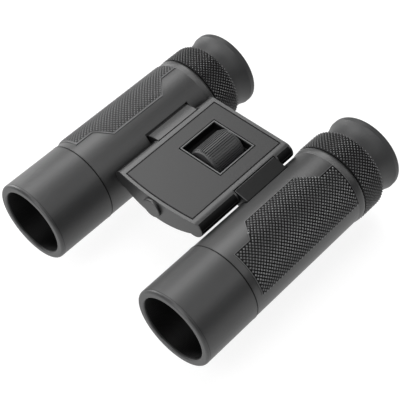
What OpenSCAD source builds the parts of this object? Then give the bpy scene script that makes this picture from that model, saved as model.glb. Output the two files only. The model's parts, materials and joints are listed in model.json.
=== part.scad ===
// Double-hinge 10x25 pocket binocular: two straight barrels hung from a flat
// central bridge that carries the focus wheel.  Millimetres, +Z up.
// +Y points at the user's eyes, so the objectives face -Y.  The origin is on the
// supporting surface, midway between the barrels and between their two ends.

/* [Barrels] */

// Distance from the centre plane to each barrel axis with the barrels spread
barrel_x = 36.8; // [34:0.1:40]
// Height of the barrel axes above the supporting surface
axis_z = 17.1; // [16:0.1:20]
// Outer radius of the front tubes
tube_r = 17; // [16:0.1:19]
// Front face of the objective tubes
front_y = -57.4; // [-65:0.1:-50]
// Parting line between the front tube and the rubber armour
seam_y = -31.2; // [-35:0.1:-28]
// Rear end of the rubber armour
armour_end_y = 29.8; // [28:0.1:32]
// Outer radius of the rubber armour
armour_r = 16.9; // [16:0.1:19]
// Free radius of the objective mouth
mouth_r = 13.9; // [13:0.1:15]
// Bore radius of the barrel casting
bore_r = 14.2; // [13.9:0.05:14.6]

/* [Objective] */

// Clear radius of the objective (half of the aperture)
aperture_r = 12.5; // [10:0.1:13]
// Radius of the objective glass
objective_r = 13; // [12.6:0.1:13.4]

/* [Eyepiece] */

// Outer radius of the knurled ring
ring_r = 17.1; // [16.5:0.1:18]
// Front face of the knurled ring
ring_y = 30.1; // [30:0.1:31]
// Rear face of the knurled ring
ring_end_y = 41.6; // [40:0.1:43]
// Radius of the eyecup neck
neck_r = 15.4; // [14.5:0.1:15.5]
// Radius of the eyecup rim
rim_r = 16.5; // [16:0.1:17]
// Rear end of the eyecup
cup_end_y = 52.8; // [52:0.1:56]

/* [Grip panel] */

// Front end of the textured grip panel
panel_y0 = -27.9; // [-29:0.1:-26]
// Rear end of the textured grip panel
panel_y1 = 26.8; // [25:0.1:28]
// Radius of the panel's face
panel_r = 17.2; // [17:0.1:17.6]
// Depth the panel is let into the armour
panel_depth = 0.8; // [0.5:0.1:1]

/* [Bridge] */

// Height of the bridge's top above the barrel axes
bridge_rise = 14.3; // [12:0.1:16]
// Middle of the bridge's curved front face
bridge_y0 = -26.8; // [-30:0.1:-24]
// Rear face of the bridge
bridge_y1 = 26.1; // [22:0.1:28]
// Depth of the bridge at its middle
bridge_depth = 10.4; // [10:0.1:13]
// Thickness of the cover and of the plate let into it
cover_t = 1; // [0.8:0.1:1.2]
// Half width of the inset plate
plate_x = 16.5; // [15:0.1:17]
// Width of the groove round the inset plate
groove = 0.6; // [0.2:0.1:0.8]
// Half width of the wheel window
window_x = 9.8; // [9:0.1:11]
// Front edge of the wheel window
window_y0 = -1.6; // [-4:0.1:0]
// Rear edge of the wheel window
window_y1 = 16.6; // [15:0.1:18]
// Width of the bezel round the window
bezel = 0.5; // [0.3:0.1:0.9]
// Gap round the bezel
bezel_gap = 0.45; // [0.2:0.05:0.6]
// Radius of the round front plug
plug_r = 4.2; // [3.5:0.1:4.4]
// Sideways offset of the front plug
plug_x = -1.2; // [-2:0.1:2]
// How far the front plug stands out of the front face
plug_out = 1.2; // [0.5:0.1:2]

/* [Hinges] */

// Distance from the centre plane to each hinge axis
hinge_x = 18.4; // [17:0.1:20]
// Depth of the hinge axes below the bridge's top
hinge_drop = 3.65; // [3.5:0.05:4]
// Radius of the barrel's hinge knuckle
knuckle_r = 2.3; // [2.2:0.05:2.4]
// Radius of the hinge pins and focus rods
pin_r = 1.4; // [1.2:0.05:1.5]
// Front end of the hinge arm
arm_y0 = -4.4; // [-6:0.1:-2]
// Rear end of the hinge arm
arm_y1 = 17.7; // [16:0.1:20]
// Height of the arm's inner shoulder above the hinge axis
shoulder = 3.3; // [3:0.05:3.4]

/* [Focusing] */

// Radius of the focus wheel
wheel_r = 7.4; // [7:0.1:8]
// Depth of the focus wheel's axis below the bridge's top
wheel_drop = 4.8; // [4.5:0.1:6]
// Front end of the focus wheel
wheel_y0 = -0.4; // [-0.6:0.1:1]
// Rear end of the focus wheel
wheel_y1 = 15.5; // [15:0.1:16]
// Ridges round the focus wheel
ridges = 48; // [24:1:60]
// Travel of the focusing group each way from its middle
focus_travel = 1.5; // [1:0.1:1.5]

/* [Hidden] */

$fn = 96;
eps = 0.02;
fit = 0.05;
mid_y = -(front_y + cup_end_y) / 2;
top_z = axis_z + bridge_rise;
hinge_z = top_z - hinge_drop;
wheel_z = top_z - wheel_drop;
boss_r = hinge_drop;
hinge_dx = barrel_x - hinge_x;
hinge_dz = hinge_z - axis_z;
hinge_dist = norm([hinge_dx, hinge_dz]);
hinge_angle = atan2(hinge_dz, -hinge_dx);
arm_top_angle = 131.4;
casting_r = 15.6;
sleeve_r = 13.2;
ocular_r = 11.8;
cell_y0 = -43.5;
focus_y0 = -2;
focus_y1 = 5;
finger_y = [0.8, 3.2];
carriage_y = [-12.5, -10.5];
rod_y0 = -18.5;
rod_y1 = 13.8;
screw_r = 1.5;
belly_r = 43;
front_arc_r = 140;
screw_spots = [[-11, -20.5], [11, -20.5], [-11, 21.4], [11, 21.4]];

// ---------------------------------------------------------------- helpers

// Bar along Y from y0 to y1
module bar(y0, y1, r, x = 0, z = 0) {
    translate([x, y0, z]) rotate([-90, 0, 0]) cylinder(h = y1 - y0, r = r);
}

// Tube along Y from y0 to y1
module pipe(y0, y1, ro, ri, x = 0, z = 0) {
    difference() {
        bar(y0, y1, ro, x, z);
        bar(y0 - 1, y1 + 1, ri, x, z);
    }
}

// Box from its two corners
module box(a, b) {
    translate(a) cube(b - a);
}

// Turns a profile of (radius, y) about the Y axis
module turned() {
    rotate([-90, 0, 0]) rotate_extrude() children();
}

// Extrudes a profile of (x, z) along Y
module along_y(y0, y1) {
    translate([0, y1, 0]) rotate([90, 0, 0]) linear_extrude(y1 - y0) children();
}

// The sliver a fillet of radius f takes off the profile corner at (r, y)
module corner(r, y, f, dr, dy) {
    difference() {
        translate([r + dr * f / 2, y + dy * f / 2]) square(f + eps, center = true);
        translate([r + dr * f, y + dy * f]) circle(f);
    }
}

// Places a right-hand barrel's part, mirrored for the left-hand barrel
module at_barrel(side) {
    mirror([side < 0 ? 1 : 0, 0, 0]) translate([barrel_x, mid_y, axis_z]) children();
}

// Places a bridge part
module at_bridge() {
    translate([0, mid_y, 0]) children();
}

// Frame whose +X axis runs from the barrel axis to the hinge axis
module toward_hinge() {
    rotate([0, -hinge_angle, 0]) children();
}

// Lens with a convex (positive sag) or hollow (negative sag) face at each end
module lens(y0, y1, r, sag0, sag1) {
    r0 = (r * r + sag0 * sag0) / (2 * abs(sag0));
    r1 = (r * r + sag1 * sag1) / (2 * abs(sag1));
    turned() difference() {
        intersection() {
            translate([0, y0]) square([r, y1 - y0]);
            if (sag0 > 0) translate([0, y0 + r0]) circle(r0, $fn = 720);
            if (sag1 > 0) translate([0, y1 - r1]) circle(r1, $fn = 720);
        }
        if (sag0 < 0) translate([0, y0 - r0 - sag0]) circle(r0, $fn = 720);
        if (sag1 < 0) translate([0, y1 + r1 + sag1]) circle(r1, $fn = 720);
    }
}

// ----------------------------------------------------------------- bridge

// Bridge section: flat top, round ends on the hinge axes, shallow belly
module bridge_section() {
    translate([-hinge_x, top_z - boss_r]) square([2 * hinge_x, boss_r]);
    intersection() {
        translate([0, top_z - bridge_depth + belly_r]) circle(belly_r);
        translate([-hinge_x, top_z - bridge_depth]) square([2 * hinge_x, bridge_depth]);
    }
    for (side = [-1, 1]) translate([side * hinge_x, hinge_z]) circle(boss_r);
}

// Bridge outline seen from above, with its bowed front edge
module bridge_plan(inset_x, inset_front, inset_rear) {
    intersection() {
        translate([0, bridge_y0 + front_arc_r]) circle(front_arc_r - inset_front, $fn = 192);
        translate([-inset_x, bridge_y0]) square([2 * inset_x, bridge_y1 - inset_rear - bridge_y0]);
    }
}

module bridge_solid() {
    intersection() {
        along_y(bridge_y0 - 1, bridge_y1) bridge_section();
        translate([0, 0, top_z - 20]) linear_extrude(30) bridge_plan(30, 0, 0);
    }
}

module window_cut(margin, z0, z1) {
    box([-window_x - margin, window_y0 - margin, z0], [window_x + margin, window_y1 + margin, z1]);
}

module bridge_housing() {
    under = top_z - cover_t;
    color("#3a3b3d") difference() {
        bridge_solid();
        translate([-40, -40, under]) cube([80, 80, 20]);
        // wheel well, open above and below
        window_cut(0, wheel_z + 1, top_z + 1);
        bar(wheel_y0 - 0.8, wheel_y1 + 0.6, wheel_r + 0.6, 0, wheel_z);
        // carriage chamber
        box([-hinge_x - 1, carriage_y[0] - focus_travel - 0.5, hinge_z - 2.5],
            [hinge_x + 1, carriage_y[1] + focus_travel + 0.5, under + 1]);
        for (side = [-1, 1]) {
            bar(carriage_y[0] - focus_travel - 0.5, carriage_y[1] + focus_travel + 0.5, 2.5,
                side * hinge_x, hinge_z);
            // rod and pin bores
            bar(rod_y0 - focus_travel - 0.5, arm_y0, pin_r + fit, side * hinge_x, hinge_z);
            bar(arm_y1, 24.4, pin_r, side * hinge_x, hinge_z);
        }
        bar(-16.8, -6.2, 3, 0, wheel_z);
        // notches for the hinge arms
        for (m = [0, 1]) mirror([m, 0, 0])
            box([hinge_x - 2.8, arm_y0 - 0.4, top_z - 20], [hinge_x + 6, arm_y1 + 0.3, top_z]);
        // screw axle and its bushes
        bar(-22, 22, screw_r + 0.3, 0, wheel_z);
        bar(-22, -19, 2.8, 0, wheel_z);
        bar(18.8, 22, 2.8, 0, wheel_z);
        // seat of the front plug
        plug_bar(0);
        for (p = screw_spots) translate([p[0], p[1], 0]) {
            translate([0, 0, top_z - 20]) cylinder(h = 20 - 6, r = 1.9);
            cylinder(h = top_z, r = 0.9);
        }
    }
}

module bridge_cover() {
    color("#55575a") difference() {
        intersection() {
            bridge_solid();
            translate([-40, -40, top_z - cover_t]) cube([80, 80, 20]);
        }
        translate([0, 0, top_z - 5]) linear_extrude(10)
            bridge_plan(plate_x + groove, 1.2, 1.4);
        for (m = [0, 1]) mirror([m, 0, 0])
            box([hinge_x + 0.6, arm_y0 - 0.4, top_z - 5], [hinge_x + 6, arm_y1 + 0.3, top_z + 5]);
        plug_bar(0.05);
    }
}

module top_plate() {
    color("#606265") difference() {
        translate([0, 0, top_z - cover_t]) linear_extrude(cover_t)
            bridge_plan(plate_x, 1.2 + groove, 1.4 + groove);
        window_cut(bezel + bezel_gap, top_z - 5, top_z + 5);
        for (p = screw_spots) translate([p[0], p[1], top_z - 5]) cylinder(h = 4.6, r = 0.9);
    }
}

module window_frame() {
    color("#6a6c6f") difference() {
        window_cut(bezel, top_z - cover_t, top_z + 0.1);
        window_cut(0, top_z - 5, top_z + 5);
    }
}

// Round stock of the front plug; clear widens it to a seat
module plug_bar(clear) {
    bar(bridge_y0 - plug_out, -25.3, plug_r + clear, plug_x, top_z - 4.9);
}

module front_plug() {
    face_y = bridge_y0 - plug_out;
    color("#5a5c5f") translate([plug_x, 0, top_z - 4.9]) turned() difference() {
        translate([0, face_y]) square([plug_r, -25.3 - face_y]);
        corner(plug_r, face_y, 0.4, -1, 1);
    }
}

module bridge_screws() {
    color("#8a8c8f") for (p = screw_spots) translate([p[0], p[1], 0]) {
        translate([0, 0, top_z - 0.5 - 5.5]) cylinder(h = 5.5, r = 0.9);
        difference() {
            translate([0, 0, top_z - 7.4]) cylinder(h = 1.4, r = 1.7);
            translate([-0.3, -2, top_z - 8]) cube([0.6, 4, 1.1]);
            translate([-2, -0.3, top_z - 8]) cube([4, 0.6, 1.1]);
        }
    }
}

module front_bush() {
    color("#b08d4a") pipe(-22, -19, 2.8, screw_r + fit, 0, wheel_z);
}

module rear_bush() {
    color("#b08d4a") pipe(18.8, 22, 2.8, screw_r + fit, 0, wheel_z);
}

module hinge_pins() {
    color("#9a9c9f") for (side = [-1, 1])
        bar(rod_y1 + 2, 24.4, pin_r, side * hinge_x, hinge_z);
}

// --------------------------------------------------------------- focusing

module focus_wheel() {
    ridge = 0.5;
    color("#2b2c2e") translate([0, 0, wheel_z]) difference() {
        union() {
            turned() difference() {
                translate([4, wheel_y0]) square([wheel_r - ridge - 4, wheel_y1 - wheel_y0]);
                corner(wheel_r - ridge, wheel_y0, 0.4, -1, 1);
                corner(wheel_r - ridge, wheel_y1, 0.4, -1, -1);
            }
            intersection() {
                for (i = [0:ridges - 1]) rotate([0, i * 360 / ridges, 0])
                    box([wheel_r - ridge - 0.4, wheel_y0 + 0.6, -0.26],
                        [wheel_r + 1, wheel_y1 - 0.6, 0.26]);
                turned() polygon([
                    [4, wheel_y0 + 0.6], [wheel_r - ridge, wheel_y0 + 0.6],
                    [wheel_r, wheel_y0 + 1.5], [wheel_r, wheel_y1 - 1.5],
                    [wheel_r - ridge, wheel_y1 - 0.6], [4, wheel_y1 - 0.6]
                ]);
            }
        }
    }
}

module focus_wheel_hub() {
    color("#3c3d3f") translate([0, 0, wheel_z])
        pipe(wheel_y0 - 0.3, wheel_y1 + 0.2, 4, screw_r);
}

module focus_screw() {
    color("#a5a7aa") translate([0, 0, wheel_z]) difference() {
        bar(-21.8, 21.8, screw_r);
        for (y = [-15.4:0.8:-8.2]) pipe(y, y + 0.35, screw_r + 1, screw_r - 0.25);
    }
}

module focus_carriage() {
    color("#b0905a") difference() {
        union() {
            bar(carriage_y[0] - 1.6, carriage_y[1] + 1.6, 2.7, 0, wheel_z);
            box([-hinge_x, carriage_y[0], hinge_z - 2.1], [hinge_x, carriage_y[1], hinge_z + 2.1]);
            for (side = [-1, 1]) bar(carriage_y[0], carriage_y[1], 2.1, side * hinge_x, hinge_z);
        }
        bar(-20, 0, screw_r + fit, 0, wheel_z);
        for (side = [-1, 1]) bar(-20, 0, 1, side * hinge_x, hinge_z);
    }
}

module focus_rod() {
    color("#9fa1a4") toward_hinge() {
        difference() {
            bar(rod_y0, rod_y1, pin_r, hinge_dist);
            pipe(carriage_y[0] - 0.2, carriage_y[1] + 0.2, 3, 0.92, hinge_dist);
        }
        difference() {
            box([13, finger_y[0], -0.7], [hinge_dist, finger_y[1], 0.7]);
            bar(-5, 9, pin_r, hinge_dist);
        }
    }
}

module focus_cell() {
    color("#44464a") difference() {
        pipe(focus_y0, focus_y1, bore_r - 0.1, 9.6);
        bar(focus_y0 + 1.5, focus_y1 + 1, 10.6);
        toward_hinge() box([13, finger_y[0], -0.7], [17, finger_y[1], 0.7]);
    }
}

module focus_lens() {
    color("#b8cfe0", 0.5) lens(focus_y0 + 1.5, focus_y1 - 0.5, 10.6, -1.1, -0.6);
}

// ----------------------------------------------------------------- barrels

// Hinge arm between the knuckle and the barrel wall; gap widens it to a clearance cut
module arm_solid(y0, y1, gap) {
    half_t = knuckle_r - 0.2 + gap;
    top_angle = arm_top_angle - gap * 3.4;
    low_angle = hinge_angle + asin(half_t / 14.8);
    reach = 17 + 3 * gap;
    along_y(y0, y1) {
        translate([-hinge_dx, hinge_dz]) circle(knuckle_r + gap);
        polygon([
            [-hinge_dx + 0.95, hinge_dz + shoulder + gap],
            [reach * cos(top_angle), reach * sin(top_angle)],
            [14.8 * cos(top_angle), 14.8 * sin(top_angle)],
            [14.8 * cos(low_angle), 14.8 * sin(low_angle)],
            [-hinge_dx - half_t * sin(hinge_angle), hinge_dz + half_t * cos(hinge_angle)]
        ]);
    }
}

module barrel() {
    color("#2f3032") difference() {
        union() {
            bar(-44, armour_end_y - 0.2, casting_r);
            bar(26, 38, sleeve_r);
            arm_solid(arm_y0, arm_y1, 0);
        }
        bar(-45, 26, bore_r);
        bar(20, 45, ocular_r + 0.08);
        toward_hinge() {
            bar(arm_y0 - 1, arm_y1 + 1, pin_r + fit, hinge_dist);
            box([13, finger_y[0] - focus_travel - 0.3, -1],
                [hinge_dist, finger_y[1] + focus_travel + 0.3, 1]);
        }
    }
}

module objective_tube() {
    color("#4b4c4f") turned() difference() {
        polygon([
            [mouth_r, front_y], [tube_r, front_y], [tube_r, seam_y],
            [casting_r, seam_y], [casting_r, -44], [mouth_r, -44]
        ]);
        corner(tube_r, front_y, 1.1, -1, 1);
        corner(mouth_r, front_y, 0.7, 1, 1);
    }
}

// Plan of the grip panel, looking straight down on the barrel
module panel_plan() {
    polygon([
        [25, panel_y0], [3.3, panel_y0], [3.3, -19.5], [-3.7, -14.4],
        [-3.7, 12.3], [3.3, 18.8], [3.3, panel_y1], [25, panel_y1]
    ]);
}

module panel_solid(r_in, r_out) {
    intersection() {
        pipe(panel_y0, panel_y1, r_out, r_in);
        translate([0, 0, 4.45]) linear_extrude(20) panel_plan();
    }
}

module armour() {
    color("#3f4042") difference() {
        turned() difference() {
            polygon([
                [casting_r, seam_y + 0.35], [armour_r, seam_y + 0.35],
                [armour_r, armour_end_y], [casting_r, armour_end_y]
            ]);
            corner(armour_r, armour_end_y, 0.9, -1, -1);
        }
        panel_solid(panel_r - panel_depth, panel_r + 3);
        arm_solid(arm_y0 - 0.7, arm_y1 + 0.7, 0.8);
    }
}

module grip_panel() {
    color("#353638") panel_solid(panel_r - panel_depth, panel_r);
}

module objective_cell() {
    color("#2a2b2d") difference() {
        pipe(cell_y0, cell_y0 + 7.5, bore_r, aperture_r);
        bar(cell_y0 - 1, cell_y0 + 6.2, objective_r);
    }
}

module objective_lens() {
    color("#a9b8e6", 0.5) lens(cell_y0 + 1.2, cell_y0 + 6.2, objective_r, 1.5, 0.6);
}

module objective_retainer() {
    color("#1c1d1f") pipe(cell_y0, cell_y0 + 1.2, objective_r, aperture_r);
}

module prism_cage() {
    color("#55585c") difference() {
        bar(8.6, 25.2, bore_r);
        box([-7.8, 9.6, -9.5], [7.8, 24.2, 9.5]);
        bar(8, 26, 7.2);
    }
}

// Prism block from a (y, z) outline
module prism_block(points) {
    translate([-7.8, 0, 0]) rotate([90, 0, 90]) linear_extrude(15.6) polygon(points);
}

module prism_front() {
    color("#cfe3ee", 0.5) prism_block([[9.8, -9.5], [19.4, -9.5], [19.4, -2], [12.6, 9.5], [9.8, 9.5]]);
}

module prism_rear() {
    color("#cfe3ee", 0.5) prism_block([[20, -9.5], [24, -9.5], [24, 9.5], [13.2, 9.5], [20, -2]]);
}

module field_stop() {
    color("#1c1d1f") pipe(25.2, 26, bore_r, 6.8);
}

// ---------------------------------------------------------------- eyepiece

module ocular_tube() {
    color("#242527") difference() {
        union() {
            bar(27.3, 48, ocular_r);
            bar(41.5, 43.5, 14);
            bar(43, 48, 12.6);
        }
        bar(26, 50, 9.2);
        bar(26, 33.6, 10.4);
        bar(43.4, 50, 11);
    }
}

module field_lens() {
    color("#b8cfe0", 0.5) lens(29, 33.6, 10.4, 0.5, 1.2);
}

module eye_lens() {
    color("#b8cfe0", 0.5) lens(43.4, 46.8, 11, 0.8, 0.6);
}

module eye_retainer() {
    color("#1c1d1f") pipe(46.8, 48, 11, 9.6);
}

module eyecup() {
    flare_r = 14;
    color("#2b2c2e") turned() difference() {
        polygon([
            [13.7, 39.5], [neck_r, 39.5], [rim_r, 39.5], [rim_r, cup_end_y], [14.6, cup_end_y],
            [12.6, 48], [12.6, 43.5], [14, 43.5], [14, 41.5], [13.7, 41.5]
        ]);
        // hollow of the neck, blending into the flare
        translate([neck_r, 38]) square([5, 6.6]);
        translate([neck_r + flare_r, 44.6]) circle(flare_r, $fn = 192);
        corner(rim_r, cup_end_y, 1.3, -1, -1);
    }
}

module knurled_ring() {
    color("#303133") turned() difference() {
        polygon([
            [sleeve_r + fit, ring_y], [ring_r, ring_y], [ring_r, ring_end_y],
            [neck_r + 0.35, ring_end_y], [neck_r + 0.35, 38.2], [sleeve_r + fit, 38.2]
        ]);
        polygon([[ring_r - 0.35, ring_y - 1], [ring_r - 0.35, ring_y], [ring_r, ring_y + 0.8],
            [ring_r + 1, ring_y + 0.8], [ring_r + 1, ring_y - 1]]);
        polygon([[ring_r - 0.9, ring_end_y + 1], [ring_r - 0.9, ring_end_y], [ring_r, ring_end_y - 1.3],
            [ring_r + 1, ring_end_y - 1.3], [ring_r + 1, ring_end_y + 1]]);
    }
}

// ------------------------------------------------------------------- nodes

at_bridge() bridge_housing();
at_bridge() bridge_cover();
at_bridge() top_plate();
at_bridge() window_frame();
at_bridge() front_plug();
at_bridge() bridge_screws();
at_bridge() front_bush();
at_bridge() rear_bush();
at_bridge() hinge_pins();
at_bridge() focus_wheel();
at_bridge() focus_wheel_hub();
at_bridge() focus_screw();
at_bridge() focus_carriage();
at_barrel(1) barrel();  // right_barrel
at_barrel(1) objective_tube();  // right_objective_tube
at_barrel(1) armour();  // right_armour
at_barrel(1) grip_panel();  // right_grip_panel
at_barrel(1) objective_cell();  // right_objective_cell
at_barrel(1) objective_lens();  // right_objective_lens
at_barrel(1) objective_retainer();  // right_objective_retainer
at_barrel(1) focus_rod();  // right_focus_rod
at_barrel(1) focus_cell();  // right_focus_cell
at_barrel(1) focus_lens();  // right_focus_lens
at_barrel(1) prism_cage();  // right_prism_cage
at_barrel(1) prism_front();  // right_prism_front
at_barrel(1) prism_rear();  // right_prism_rear
at_barrel(1) field_stop();  // right_field_stop
at_barrel(1) ocular_tube();  // right_ocular_tube
at_barrel(1) field_lens();  // right_field_lens
at_barrel(1) eye_lens();  // right_eye_lens
at_barrel(1) eye_retainer();  // right_eye_retainer
at_barrel(1) eyecup();  // right_eyecup
at_barrel(1) knurled_ring();  // right_dioptre_ring
at_barrel(-1) barrel();  // left_barrel
at_barrel(-1) objective_tube();  // left_objective_tube
at_barrel(-1) armour();  // left_armour
at_barrel(-1) grip_panel();  // left_grip_panel
at_barrel(-1) objective_cell();  // left_objective_cell
at_barrel(-1) objective_lens();  // left_objective_lens
at_barrel(-1) objective_retainer();  // left_objective_retainer
at_barrel(-1) focus_rod();  // left_focus_rod
at_barrel(-1) focus_cell();  // left_focus_cell
at_barrel(-1) focus_lens();  // left_focus_lens
at_barrel(-1) prism_cage();  // left_prism_cage
at_barrel(-1) prism_front();  // left_prism_front
at_barrel(-1) prism_rear();  // left_prism_rear
at_barrel(-1) field_stop();  // left_field_stop
at_barrel(-1) ocular_tube();  // left_ocular_tube
at_barrel(-1) field_lens();  // left_field_lens
at_barrel(-1) eye_lens();  // left_eye_lens
at_barrel(-1) eye_retainer();  // left_eye_retainer
at_barrel(-1) eyecup();  // left_eyecup
at_barrel(-1) knurled_ring();  // left_collar_ring
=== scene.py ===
import json
import math

import bpy
from mathutils import Matrix, Vector


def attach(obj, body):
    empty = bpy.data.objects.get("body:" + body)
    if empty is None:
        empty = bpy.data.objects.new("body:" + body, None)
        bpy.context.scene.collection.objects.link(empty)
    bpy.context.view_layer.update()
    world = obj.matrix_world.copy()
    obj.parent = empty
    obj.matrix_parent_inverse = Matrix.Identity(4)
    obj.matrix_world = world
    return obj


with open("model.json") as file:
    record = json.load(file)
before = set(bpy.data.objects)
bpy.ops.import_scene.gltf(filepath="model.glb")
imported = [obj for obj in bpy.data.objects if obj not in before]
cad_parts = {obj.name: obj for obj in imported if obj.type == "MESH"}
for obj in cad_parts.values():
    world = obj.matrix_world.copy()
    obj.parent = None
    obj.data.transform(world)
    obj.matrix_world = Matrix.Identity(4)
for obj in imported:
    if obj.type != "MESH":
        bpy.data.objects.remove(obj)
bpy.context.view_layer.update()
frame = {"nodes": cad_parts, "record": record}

MM = 0.001
SIDES = {"right": 1, "left": -1}
NODES = frame["nodes"]

# Driving dimensions of the object, in mm.  Here and for the barrels, places along Y are those of
# the part's source, and Y0 shifts them so that the object's middle is at zero.
Y0 = 2.3
BARREL_X, BARREL_Z = 36.8, 17.1         # barrel axis
HINGE_X, HINGE_Z = BARREL_X / 2, 27.75  # hinge axis
TOP = 31.4                              # top of the bridge
TUBE_R, SEAM_Y = 17.0, -31.2            # front tube and the seam behind it
MOUTH_R, FRONT_Y = 13.9, -57.4          # objective mouth and the front of the tubes
PANEL_R, PANEL_Y0, PANEL_Y1 = 17.2, -27.9, 26.8
PANEL_LOW = 4.45                        # lower edge of a grip panel, above the barrel axis
PANEL_WIDE, PANEL_NARROW = 3.3, -3.7    # inner edge of a grip panel at its ends and middle
RING_Y0, RING_Y1 = 30.1, 41.6           # knurled ring
RING_BEVEL_Y, RING_BEVEL = 40.3, 0.7    # where the ring's rear bevel starts, and its depth
STEP = 0.8                              # half the spacing of the grip points' rows
GRIP_ROWS, GRIP_COLUMNS = 68, 36        # steps along a grip panel and round it
GRIP_LOW = math.radians(14.0)           # where a grip panel's first column stands
RING_ROWS, RING_COLUMNS = 14, 136       # the same for a ring
POINT_FOOT, POINT_TIP = -0.12, 0.48     # ends of a grip point, from the panel's surface
RING_FOOT, RING_TIP = 16.95, 0.62       # radius of the ring points' feet, and their height


# ------------------------------------------------------------------ materials

GRAIN_SCALE = 900.0


def material(name, color, rough, spread=0.12, metallic=0.0, grain=0.0,
             coat=0.0, specular=0.5, transmission=0.0, ior=1.5):
    """A plain finish: colour with a faint mottle, and a fine grain in its surface."""
    mat = bpy.data.materials.new(name)
    mat.use_nodes = True
    tree = mat.node_tree
    bsdf = tree.nodes["Principled BSDF"]
    bsdf.inputs["Roughness"].default_value = rough
    bsdf.inputs["Metallic"].default_value = metallic
    bsdf.inputs["Coat Weight"].default_value = coat
    bsdf.inputs["Coat Roughness"].default_value = 0.1
    bsdf.inputs["Specular IOR Level"].default_value = specular
    bsdf.inputs["Transmission Weight"].default_value = transmission
    bsdf.inputs["IOR"].default_value = ior
    coords = tree.nodes.new("ShaderNodeTexCoord")
    mottle = tree.nodes.new("ShaderNodeTexNoise")
    mottle.inputs["Scale"].default_value = 60.0
    mottle.inputs["Detail"].default_value = 4.0
    ramp = tree.nodes.new("ShaderNodeValToRGB")
    ramp.color_ramp.elements[0].position = 0.3
    ramp.color_ramp.elements[1].position = 0.7
    ramp.color_ramp.elements[0].color = [c * (1 - spread) for c in color] + [1]
    ramp.color_ramp.elements[1].color = [c * (1 + spread) for c in color] + [1]
    tree.links.new(coords.outputs["Object"], mottle.inputs["Vector"])
    tree.links.new(mottle.outputs["Fac"], ramp.inputs["Fac"])
    tree.links.new(ramp.outputs["Color"], bsdf.inputs["Base Color"])
    if grain:
        noise = tree.nodes.new("ShaderNodeTexNoise")
        noise.inputs["Scale"].default_value = GRAIN_SCALE
        noise.inputs["Detail"].default_value = 3.0
        bump = tree.nodes.new("ShaderNodeBump")
        bump.inputs["Strength"].default_value = grain
        bump.inputs["Distance"].default_value = 0.0001
        tree.links.new(coords.outputs["Object"], noise.inputs["Vector"])
        tree.links.new(noise.outputs["Fac"], bump.inputs["Height"])
        tree.links.new(bump.outputs["Normal"], bsdf.inputs["Normal"])
    return mat


def grey(v):
    """A grey of linear value v, very slightly cool."""
    return (v, v * 1.01, v * 1.03)


FINISH = {
    "housing_paint": material("housing_paint", grey(0.010), 0.42, grain=0.2, specular=0.8),
    "cover_paint": material("cover_paint", grey(0.02), 0.42, grain=0.25, specular=0.7),
    "plate_paint": material("plate_paint", grey(0.009), 0.45, grain=0.3, specular=0.43),
    # frame_paint: a light grey that also paints thin highlights along the right hinge arm's edges.
    "frame_paint": material("frame_paint", grey(0.06), 0.4, specular=0.5),
    "plug_plastic": material("plug_plastic", grey(0.012), 0.45, grain=0.3, specular=0.9),
    "screw_steel": material("screw_steel", (0.42, 0.43, 0.44), 0.3, metallic=1.0),
    "pin_steel": material("pin_steel", (0.55, 0.56, 0.57), 0.25, metallic=1.0),
    "bush_brass": material("bush_brass", (0.68, 0.50, 0.22), 0.3, metallic=1.0),
    "wheel_rubber": material("wheel_rubber", grey(0.04), 0.45, grain=0.2, specular=0.5),
    "hub_plastic": material("hub_plastic", grey(0.012), 0.5, specular=0.3),
    "casting_black": material("casting_black", grey(0.004), 0.42, grain=0.3, specular=0.28),
    "tube_coat": material("tube_coat", grey(0.021), 0.45, grain=0.3, specular=0.57),
    "armour_rubber": material("armour_rubber", grey(0.012), 0.45, grain=0.3, specular=0.75),
    # panel_rubber: a light grey for the grip points, far lighter than the armour rubber, as painted
    # highlight on their tips.
    "panel_rubber": material("panel_rubber", grey(0.085), 0.42, specular=0.8),
    "cell_black": material("cell_black", grey(0.003), 0.5, specular=0.12),
    "coated_glass": material("coated_glass", (0.006, 0.005, 0.010), 0.04, coat=0.6, ior=1.6),
    "lens_glass": material("lens_glass", (0.8, 0.88, 0.9), 0.02, transmission=1.0),
    "prism_glass": material("prism_glass", (0.82, 0.9, 0.92), 0.02, transmission=1.0),
    "eyecup_rubber": material("eyecup_rubber", grey(0.030), 0.5, grain=0.3, specular=0.4),
    # ring_rubber: grey of the ring's points, lighter than the black ground between them, as painted
    # highlight on their tips.
    "ring_rubber": material("ring_rubber", grey(0.055), 0.42, specular=0.7),
}

for entry in frame["record"]["subparts"]:
    node = NODES[entry["node"]]
    node.data.materials.clear()
    node.data.materials.append(FINISH[entry["material_slot"]])


# --------------------------------------------------------------- helper pieces

def piece(name, verts, faces, slot, body, smooth=False):
    """A mesh in millimetres that rides on a body and takes the finish of a slot."""
    mesh = bpy.data.meshes.new(name)
    mesh.from_pydata([Vector(v) * MM for v in verts], [], faces)
    mesh.update()
    mesh.materials.append(FINISH[slot])
    for poly in mesh.polygons:
        poly.use_smooth = smooth
    obj = bpy.data.objects.new(name, mesh)
    bpy.context.scene.collection.objects.link(obj)
    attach(obj, body)
    return obj


def on_barrel(side, radius, angle, y):
    """Point on a barrel: angle in radians from straight outwards, up over the top."""
    return (side * (BARREL_X + radius * math.cos(angle)), y + Y0, BARREL_Z + radius * math.sin(angle))


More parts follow.
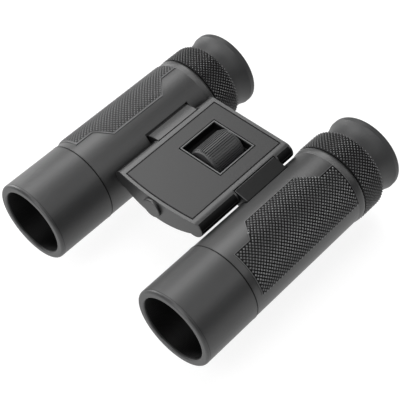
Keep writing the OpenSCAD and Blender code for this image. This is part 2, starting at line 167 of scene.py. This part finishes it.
def points_field(name, side, y0, ny, dy, a0, na, da, valley, peak, keep, slot, body):
    """Rows of small pyramids on a barrel.  Grid points are tips and valleys in turn."""
    verts, index, faces = [], {}, []

    def vertex(i, j):
        if (i, j) not in index:
            radius = (peak if (i + j) % 2 == 0 else valley)(y0 + i * dy)
            index[i, j] = len(verts)
            verts.append(on_barrel(side, radius, a0 + j * da, y0 + i * dy))
        return index[i, j]

    for i in range(ny):
        for j in range(na):
            cell = [(i, j), (i + 1, j), (i + 1, j + 1), (i, j + 1)]
            for k in range(4):
                tip = cell[k]
                if (tip[0] + tip[1]) % 2 == 0 and keep(a0 + tip[1] * da, y0 + tip[0] * dy):
                    tri = [vertex(*cell[k - 1]), vertex(*tip), vertex(*cell[(k + 1) % 4])]
                    faces.append(tri if side > 0 else tri[::-1])
    return piece(name, verts, faces, slot, body)


# ------------------------------------------------------- textured rubber parts

def panel_edge(y):
    """Inner edge of the grip panel, in mm across the barrel, at y."""
    knots = [(-30, PANEL_WIDE), (-19.5, PANEL_WIDE), (-14.4, PANEL_NARROW),
             (12.3, PANEL_NARROW), (18.8, PANEL_WIDE), (30, PANEL_WIDE)]
    for (ya, xa), (yb, xb) in zip(knots, knots[1:]):
        if y <= yb:
            return xa + (xb - xa) * (y - ya) / (yb - ya)
    return PANEL_WIDE


def in_panel(angle, y):
    """Whether a grip point may stand here: clear of the panel's four edges."""
    across, up = PANEL_R * math.cos(angle), PANEL_R * math.sin(angle)
    return (across > panel_edge(y) + 0.5 and up > PANEL_LOW + 0.45
            and PANEL_Y0 + 0.6 < y < PANEL_Y1 - 0.6)


def ring_valley(y):
    """Radius of the ring between its points, falling along the rear bevel."""
    return RING_FOOT - RING_BEVEL * max(0.0, (y - RING_BEVEL_Y) / (RING_Y1 - RING_BEVEL_Y))


def lathe(name, side, profile, slot, body, n=120, inward=False, smooth=True):
    """A turned surface about a barrel's axis, from (radius, y) pairs."""
    verts, faces = [], []
    for radius, y in profile:
        verts += [on_barrel(side, radius, math.tau * j / n, y) for j in range(n)]
    for k in range(len(profile) - 1):
        for j in range(n):
            quad = [k * n + j, k * n + (j + 1) % n, (k + 1) * n + (j + 1) % n, (k + 1) * n + j]
            faces.append(quad if (side < 0) == inward else quad[::-1])
    return piece(name, verts, faces, slot, body, smooth)


def panel_painted_shade_ground(name, side, inset, slot, body):
    """Dark ground between the points of a grip panel, painted shade between them, set in from the
    panel's edges.
    """
    rows, columns = 134, 24
    length = PANEL_Y1 - PANEL_Y0 - 2 * inset
    ys = [PANEL_Y0 + inset + length * k / rows for k in range(rows + 1)]
    verts, faces = [], []
    for y in ys:
        top = math.acos((panel_edge(y) + inset) / PANEL_R)
        low = math.asin((PANEL_LOW + inset) / PANEL_R)
        verts += [on_barrel(side, PANEL_R + 0.1, low + (top - low) * j / columns, y)
                  for j in range(columns + 1)]
    for k in range(rows):
        for j in range(columns):
            a = k * (columns + 1) + j
            quad = [a, a + 1, a + columns + 2, a + columns + 1]
            faces.append(quad[::-1] if side > 0 else quad)
    return piece(name, verts, faces, slot, body)


def grip_panel(word, side, inset, slot):
    """Ground of painted shade, and points with painted highlight on their tips, of one grip panel."""
    body = word + "_barrel"
    panel_painted_shade_ground(word + "_grip_painted_shade_ground", side, inset, slot, body)
    points_field(word + "_grip_points", side, PANEL_Y0 + 0.1, GRIP_ROWS, STEP, GRIP_LOW,
                 GRIP_COLUMNS, STEP / PANEL_R, lambda y: PANEL_R + POINT_FOOT,
                 lambda y: PANEL_R + POINT_TIP, in_panel, "panel_rubber", body)


def knurled_ring(word, side, body):
    """Black ground of painted shade between the points, and the points, of the ring behind the
    armour.
    """
    shade_ground_r = 17.22
    profile = [(16.2, RING_Y0 + 0.04), (shade_ground_r, RING_Y0 + 0.1), (shade_ground_r, RING_BEVEL_Y),
               (16.55, RING_Y1 - 0.1)]
    lathe(word + "_ring_painted_shade_ground", side, profile, "cell_black", body, smooth=False)
    points_field(word + "_ring_points", side, RING_Y0 + 0.3, RING_ROWS, STEP, 0.0, RING_COLUMNS,
                 math.tau / RING_COLUMNS, ring_valley, lambda y: ring_valley(y) + RING_TIP,
                 lambda angle, y: True, "ring_rubber", body)


def armour_lip(word, side):
    """Rounded rear end of the armour, just in front of the ring."""
    profile = [(16.88, 26.9), (17.02, 27.5), (17.2, 28.3), (17.3, 29.1), (17.28, 29.8),
               (17.1, RING_Y0 - 0.08), (16.2, RING_Y0 - 0.06)]
    lathe(word + "_armour_lip", side, profile, "armour_rubber", word + "_barrel")


def tube_lines(word, side):
    """The dark seam behind the front tube, and the fine line behind its rim."""
    low, body = TUBE_R - 0.1, word + "_barrel"
    seam = [(low, SEAM_Y - 0.22), (TUBE_R + 0.05, SEAM_Y - 0.2),
            (TUBE_R + 0.05, SEAM_Y + 0.22), (low, SEAM_Y + 0.24)]
    lathe(word + "_seam", side, seam, "cell_black", body, smooth=False)
    low, high = TUBE_R - 0.05, TUBE_R + 0.02
    line = [(low, FRONT_Y + 1.2), (high, FRONT_Y + 1.25), (high, FRONT_Y + 1.45),
            (low, FRONT_Y + 1.5)]
    lathe(word + "_mouth_line", side, line, "hub_plastic", body, smooth=False)


def mouth_lining(word, side):
    """Black lining of the objective mouth, with fine baffle steps."""
    profile = [(MOUTH_R - 0.04 - 0.12 * (k % 2), FRONT_Y + 1 + 0.3 * k) for k in range(42)]
    lathe(word + "_mouth_lining", side, profile, "cell_black", word + "_barrel", n=96,
          inward=True, smooth=False)


GROUND_INSET = {"right": 0.2, "left": 0.7}
# Finish of the grip panels' ground, painted shade: darker on the right barrel than on the left.
GROUND_SHADE_SLOT = {"right": "cell_black", "left": "hub_plastic"}
RING_BODY = {"right": "dioptre_ring", "left": "left_barrel"}

for word, side in SIDES.items():
    grip_panel(word, side, GROUND_INSET[word], GROUND_SHADE_SLOT[word])
    knurled_ring(word, side, RING_BODY[word])
    armour_lip(word, side)
    tube_lines(word, side)
    mouth_lining(word, side)


# ------------------------------------------------------------- bridge details

FRONT_ARC_R, FRONT_ARC_Y = 140, 113.2   # the bridge's bowed front, seen from above
SIDE_R = 3.69                           # just outside the bridge's round sides
ARM_X0, ARM_Z0 = 19.35, 31.05           # inner edge of a hinge arm's sloping top
ARM_SLOPE = 1.2 / 6.21
ARM_Y0, ARM_Y1 = -2.0, 19.9             # its ends, and like the ends of the painted shade bands already shifted


def front_edge(x, inset):
    """Y of the bowed front edge at x, set back by inset."""
    return FRONT_ARC_Y + Y0 - math.sqrt((FRONT_ARC_R - inset) ** 2 - x * x)


def plate_loop(half, inset_front, rear):
    """Outline of the bridge's plate: bowed front edge, then the two rear corners."""
    z, steps = TOP - 0.12, 24
    xs = [half * (2 * k / steps - 1) for k in range(steps + 1)]
    bow = [(x, front_edge(x, inset_front), z) for x in xs]
    return bow + [(half, rear + Y0, z), (-half, rear + Y0, z)]


def plate_groove_painted_shade():
    """Black strip painted into the groove round the plate, as painted shade."""
    inner, outer = plate_loop(16.5, 1.8, 24.1), plate_loop(17.1, 1.2, 24.7)
    n = len(inner)
    faces = [(k, (k + 1) % n, n + (k + 1) % n, n + k) for k in range(n)]
    piece("plate_groove_painted_shade", inner + outer, faces, "cell_black", "bridge")


def along(name, profile, y0, y1, slot, body):
    """A smooth strip of constant section, from (x, z) pairs, running along Y."""
    verts = [(x, y, z) for y in (y0, y1) for x, z in profile]
    m = len(profile)
    faces = [(k, k + 1, m + k + 1, m + k) for k in range(m - 1)]
    if profile[0][0] > profile[-1][0]:
        faces = [f[::-1] for f in faces]
    return piece(name, verts, faces, slot, body, True)


def round_side(side, low, high):
    """Part of the bridge's round side, between two angles above the horizontal."""
    angles = [math.radians(low + (high - low) * k / 12) for k in range(13)]
    return [(side * (HINGE_X + SIDE_R * math.cos(a)), HINGE_Z + SIDE_R * math.sin(a))
            for a in angles]


def side_painted_shade_bands(word, side):
    """Black bands painted on a round side of the bridge as painted shade, in front of and behind the
    hinge arm; the strip left bare between them reads as a light line.
    """
    for part, y0, y1 in [("front", -22.5, -3.2), ("rear", 20.9, 27.6)]:
        for band, low, high in [("upper", 16, 64), ("lower", -70, 8)]:
            along("%s_%s_%s_flute" % (word, part, band), round_side(side, low, high),
                  y0, y1, "cell_black", "bridge")


def arm_top(x, lift):
    """Height of a hinge arm's sloping top at x, raised by lift."""
    return ARM_Z0 - (x - ARM_X0) * ARM_SLOPE + lift


def arm_strip(name, side, x0, x1, y0, y1, lift, slot):
    """A flat strip on the sloping top of a hinge arm."""
    profile = [(side * x, arm_top(x, lift)) for x in (x0, x1)]
    along(name, profile, y0, y1, slot, "left_barrel" if side < 0 else "right_barrel")


def arm_details():
    """Domed skin on the left arm only, a real dome in the lighter cover paint as painted highlight,
    between black strips of painted shadow; thin light strips of painted highlight on the right arm's
    edges.
    """
    skin = [(19.75 + k * 0.525, 0.05 + 0.22 * math.sin(math.pi * k / 10)) for k in range(11)]
    along("left_arm_highlight_skin", [(-x, arm_top(x, lift)) for x, lift in skin], ARM_Y0 + 0.1, 19.6,
          "cover_paint", "left_barrel")
    # Black strips of painted shadow along the left arm's inner and outer edges.
    arm_strip("left_arm_inner_painted_shadow", -1, 19.4, 19.75, ARM_Y0, ARM_Y1, 0.05, "cell_black")
    arm_strip("left_arm_outer_painted_shadow", -1, 25.0, 25.5, ARM_Y0, ARM_Y1, 0.05, "cell_black")
    # Light strips of painted highlight along the right arm's inner and front edges.
    arm_strip("right_arm_inner_painted_highlight", 1, 19.4, 19.6, ARM_Y0, ARM_Y1, 0.04, "frame_paint")
    arm_strip("right_arm_front_painted_highlight", 1, 19.4, 25.4, -2.05, -1.8, 0.04, "frame_paint")


def wheel_well_painted_shade():
    """Black sheet on the walls of the wheel well, and a black strip of its floor along each side, as
    painted shade in the well.
    """
    x_wall, y_front, y_rear, z_floor = 9.77, -1.57 + Y0, 16.57 + Y0, 27.65
    ring = [(-x_wall, y_front), (x_wall, y_front), (x_wall, y_rear), (-x_wall, y_rear)]
    verts = [(x, y, TOP - 0.45) for x, y in ring] + [(x, y, z_floor) for x, y in ring]
    verts += [(x * 0.8, y, z_floor) for x, y in ring]
    faces = [(k, (k + 1) % 4, 4 + (k + 1) % 4, 4 + k) for k in range(4)]
    faces += [(4, 8, 11, 7), (5, 6, 10, 9)]
    piece("wheel_well_painted_shade", verts, faces, "cell_black", "bridge")


plate_groove_painted_shade()
for word, side in SIDES.items():
    side_painted_shade_bands(word, side)
arm_details()
wheel_well_painted_shade()


# ---------------------------------------------------------------- studio

LIGHT_DISTANCE, LIGHT_SIZE, LIGHT_AIM = 1.2, 0.6, Vector((0, 0, 0.02))
FLOOR_HALF = 4.0
FLOOR_Z = -0.012        # low enough for the barrels when they are folded down under the bridge
CAMERA_PLACE = (0.21384, -0.20758, 0.36549)
CAMERA_LENS = 107.26


def direction(around, high):
    """Unit vector, from degrees round from the objectives' side (-Y) and degrees up."""
    around, high = math.radians(around), math.radians(high)
    return Vector((math.sin(around) * math.cos(high), -math.cos(around) * math.cos(high),
                   math.sin(high)))


def area_light(name, around, high, watts):
    """A square softbox that faces the object from a direction."""
    data = bpy.data.lights.new(name, "AREA")
    data.shape = "RECTANGLE"
    data.size = data.size_y = LIGHT_SIZE
    data.energy = watts
    light = bpy.data.objects.new(name, data)
    bpy.context.scene.collection.objects.link(light)
    light.location = direction(around, high) * LIGHT_DISTANCE
    light.rotation_mode = "QUATERNION"
    light.rotation_quaternion = (LIGHT_AIM - light.location).to_track_quat("-Z", "Y")


def studio_world():
    world = bpy.data.worlds.new("studio")
    bpy.context.scene.world = world
    world.use_nodes = True
    background = world.node_tree.nodes["Background"]
    background.inputs["Color"].default_value = (1, 1, 1, 1)
    background.inputs["Strength"].default_value = 0.04


def studio_floor():
    """A pale floor that glows, so that the background is white and shadows are faint."""
    mat = material("floor", (0.22, 0.22, 0.22), 0.9, spread=0.0)
    bsdf = mat.node_tree.nodes["Principled BSDF"]
    bsdf.inputs["Emission Color"].default_value = (1, 1, 1, 1)
    bsdf.inputs["Emission Strength"].default_value = 0.85
    mesh = bpy.data.meshes.new("floor")
    corners = [(-1, -1), (1, -1), (1, 1), (-1, 1)]
    mesh.from_pydata([(x * FLOOR_HALF, y * FLOOR_HALF, FLOOR_Z) for x, y in corners],
                     [], [(0, 1, 2, 3)])
    mesh.materials.append(mat)
    floor = bpy.data.objects.new("floor", mesh)
    bpy.context.scene.collection.objects.link(floor)


def studio_camera(around, high, roll):
    """Camera at CAMERA_PLACE, looking back along a direction, rolled by some degrees."""
    data = bpy.data.cameras.new("camera")
    data.sensor_width = 36
    data.lens = CAMERA_LENS
    data.clip_start = 0.01
    camera = bpy.data.objects.new("camera", data)
    bpy.context.scene.collection.objects.link(camera)
    back = direction(around, high)
    right = Vector((math.cos(math.radians(around)), math.sin(math.radians(around)), 0))
    up = back.cross(right)
    turn = math.radians(roll)
    right, up = (math.cos(turn) * right + math.sin(turn) * up,
                 -math.sin(turn) * right + math.cos(turn) * up)
    axes = Matrix((right, up, back)).transposed().to_4x4()
    camera.matrix_world = Matrix.Translation(CAMERA_PLACE) @ axes
    bpy.context.scene.camera = camera


studio_world()
studio_floor()
for name, around, high, watts in [
        ("front_low", 0, 15, 5.5), ("front", 0, 50, 5.0), ("left_high", 240, 50, 7.5),
        ("left_low", 270, 15, 10.0), ("top", 0, 90, 4.9), ("rear_right", 120, 50, 2.8)]:
    area_light(name, around, high, watts)
studio_camera(46.03, 50.1, -4.32)
bpy.context.scene.view_settings.view_transform = "Standard"
